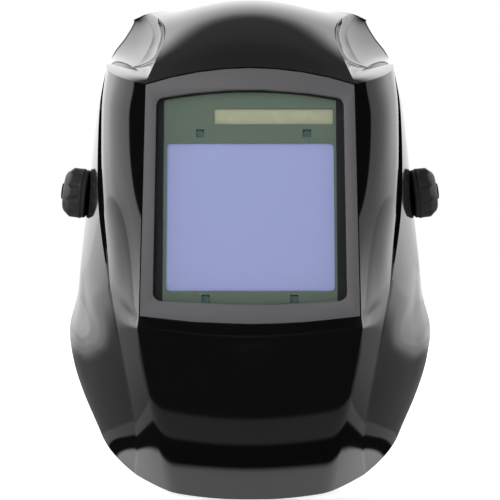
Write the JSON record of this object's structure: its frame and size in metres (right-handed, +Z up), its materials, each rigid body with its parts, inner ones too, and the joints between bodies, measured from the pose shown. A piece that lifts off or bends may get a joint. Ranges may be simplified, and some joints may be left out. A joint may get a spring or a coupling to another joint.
{
  "type": "welding helmet",
  "caption": "Auto-darkening welding helmet: gloss shell with side scoops, large window with filter cartridge, tension knobs and adjustable ratchet headgear.",
  "frame": {"origin": "middle of the tilt axis between the two side knobs, at the centre of the wearer's head", "axes": "+Z up, -Y out of the window, X along the tilt axis with the wearer's right at -X"},
  "size_m": [0.243, 0.2721, 0.307],
  "materials": {
    "shell_gloss": "polished moulded nylon",
    "bezel": "smooth",
    "clear_lens": "clear polycarbonate",
    "rubber": "matt",
    "black_plastic": "fine moulded texture",
    "faceplate_green": "satin printed plate",
    "filter_blue": "coated glass",
    "lcd_glass": "laminated glass",
    "solar": "amorphous solar cell",
    "sensor": "tinted window",
    "board": "solder mask",
    "steel": "zinc plated",
    "black_steel": "black oxide",
    "cell_steel": "nickel plated",
    "washer_nylon": "natural nylon",
    "knob_rubbery": "matt black",
    "stop_red": "satin",
    "button_red": "satin",
    "headgear_nylon": "satin nylon",
    "foam_fabric": "brushed knit over foam"
  },
  "bodies": {
    "headgear": {"front_band": "headgear_nylon", "sweatband": "foam_fabric", "crown_strap_left": "headgear_nylon", "crown_strap_right": "headgear_nylon", "back_strap_left": "headgear_nylon", "back_strap_right": "headgear_nylon", "crown_pins": "headgear_nylon", "band_rivets": "headgear_nylon", "rear_band_left": "headgear_nylon", "rear_band_right": "headgear_nylon", "rear_pad": "foam_fabric", "ratchet_housing": "headgear_nylon", "ratchet_cover": "headgear_nylon"},
    "reach_slides": {"reach_slide_left": "headgear_nylon", "reach_slide_right": "headgear_nylon", "friction_washers": "washer_nylon"},
    "tilt_stop": {"tilt_stop": "stop_red"},
    "shell": {"shell": "shell_gloss", "window_bezel": "bezel", "front_cover_lens": "clear_lens", "lens_gasket": "rubber", "cartridge_holder": "black_plastic", "holder_screws": "steel", "clip_screws": "steel", "cartridge_case_front": "black_plastic", "cartridge_case_rear": "black_plastic", "case_screws": "steel", "faceplate": "faceplate_green", "uv_ir_filter": "filter_blue", "lcd_cell": "lcd_glass", "solar_cell": "solar", "arc_sensors": "sensor", "circuit_board": "board", "inner_cover_lens": "clear_lens", "pivot_bush_left": "black_plastic", "pivot_bush_right": "black_plastic", "pivot_screws": "black_steel", "knob_washers": "steel"},
    "clip_left": {"cartridge_clip_left": "black_plastic"},
    "clip_right": {"cartridge_clip_right": "black_plastic"},
    "tray_left": {"battery_tray_left": "black_plastic", "coin_cell_left": "cell_steel"},
    "tray_right": {"battery_tray_right": "black_plastic", "coin_cell_right": "cell_steel"},
    "shade_dial": {"shade_dial": "black_plastic"},
    "sensitivity_dial": {"sensitivity_dial": "black_plastic"},
    "delay_dial": {"delay_dial": "black_plastic"},
    "grind_button": {"grind_button": "button_red"},
    "test_button": {"test_button": "black_plastic"},
    "knob_left": {"tension_knob_left": "knob_rubbery", "knob_nut_left": "black_steel"},
    "knob_right": {"tension_knob_right": "knob_rubbery", "knob_nut_right": "black_steel"},
    "ratchet_knob": {"ratchet_knob": "knob_rubbery", "ratchet_pinion": "black_plastic", "detent_spring": "steel"},
    "rack_left": {"rack_left": "headgear_nylon"},
    "rack_right": {"rack_right": "headgear_nylon"}
  },
  "joints": [
    {"name": "reach_adjust", "type": "slide", "parent": "headgear", "child": "reach_slides", "axis": [0, -1, 0], "range_m": [0, 0.012]},
    {"name": "shell_tilt", "type": "hinge", "parent": "reach_slides", "child": "shell", "pos_m": [0, 0, 0], "axis": [-1, 0, 0], "range_deg": [0, 60]},
    {"name": "tilt_stop_turn", "type": "hinge", "parent": "reach_slides", "child": "tilt_stop", "pos_m": [0.092, -0.021, -0.0105], "axis": [1, 0, 0], "range_deg": [0, 90]},
    {"name": "knob_left_turn", "type": "hinge", "parent": "shell", "child": "knob_left", "pos_m": [-0.1043, 0, 0], "axis": [-0.9925, 0, 0.1219], "range_deg": [0, 270]},
    {"name": "knob_right_turn", "type": "hinge", "parent": "shell", "child": "knob_right", "pos_m": [0.1043, 0, 0], "axis": [0.9925, 0, 0.1219], "range_deg": [0, 270]},
    {"name": "clip_left_turn", "type": "hinge", "parent": "shell", "child": "clip_left", "pos_m": [-0.0602, -0.11077, -0.01672], "axis": [0, 0.9848, -0.1736], "range_deg": [-90, 0]},
    {"name": "clip_right_turn", "type": "hinge", "parent": "shell", "child": "clip_right", "pos_m": [0.0602, -0.11077, -0.01672], "axis": [0, 0.9848, -0.1736], "range_deg": [0, 90]},
    {"name": "tray_left_slide", "type": "slide", "parent": "shell", "child": "tray_left", "axis": [-1, 0, 0], "range_m": [0, 0.0135]},
    {"name": "tray_right_slide", "type": "slide", "parent": "shell", "child": "tray_right", "axis": [1, 0, 0], "range_m": [0, 0.0135]},
    {"name": "shade_turn", "type": "hinge", "parent": "shell", "child": "shade_dial", "pos_m": [-0.038, -0.10104, 0.03843], "axis": [0, 0.9848, -0.1736], "range_deg": [-135, 135]},
    {"name": "sensitivity_turn", "type": "hinge", "parent": "shell", "child": "sensitivity_dial", "pos_m": [0, -0.10104, 0.03843], "axis": [0, 0.9848, -0.1736], "range_deg": [-135, 135]},
    {"name": "delay_turn", "type": "hinge", "parent": "shell", "child": "delay_dial", "pos_m": [0.038, -0.10104, 0.03843], "axis": [0, 0.9848, -0.1736], "range_deg": [-135, 135]},
    {"name": "grind_press", "type": "slide", "parent": "shell", "child": "grind_button", "axis": [0, -0.9848, 0.1736], "range_m": [0, 0.001], "stiffness_N_per_m": 1500, "springref_m": -0.0006},
    {"name": "test_press", "type": "slide", "parent": "shell", "child": "test_button", "axis": [0, -0.9848, 0.1736], "range_m": [0, 0.001], "stiffness_N_per_m": 1500, "springref_m": -0.0006},
    {"name": "ratchet_turn", "type": "hinge", "parent": "headgear", "child": "ratchet_knob", "pos_m": [0, 0.112, -0.028], "axis": [0, 1, 0], "range_deg": [-68, 68]},
    {"name": "rack_left_slide", "type": "slide", "parent": "headgear", "child": "rack_left", "axis": [1, 0, 0], "range_m": [-0.006, 0.006], "deforming": ["rear_band_left"]},
    {"name": "rack_right_slide", "type": "slide", "parent": "headgear", "child": "rack_right", "axis": [-1, 0, 0], "range_m": [-0.006, 0.006], "deforming": ["rear_band_right"]}
  ],
  "couplings": [
    {"joint": "rack_left_slide", "follows": "ratchet_turn", "m_per_rad": 0.005},
    {"joint": "rack_right_slide", "follows": "ratchet_turn", "m_per_rad": 0.005}
  ]
}
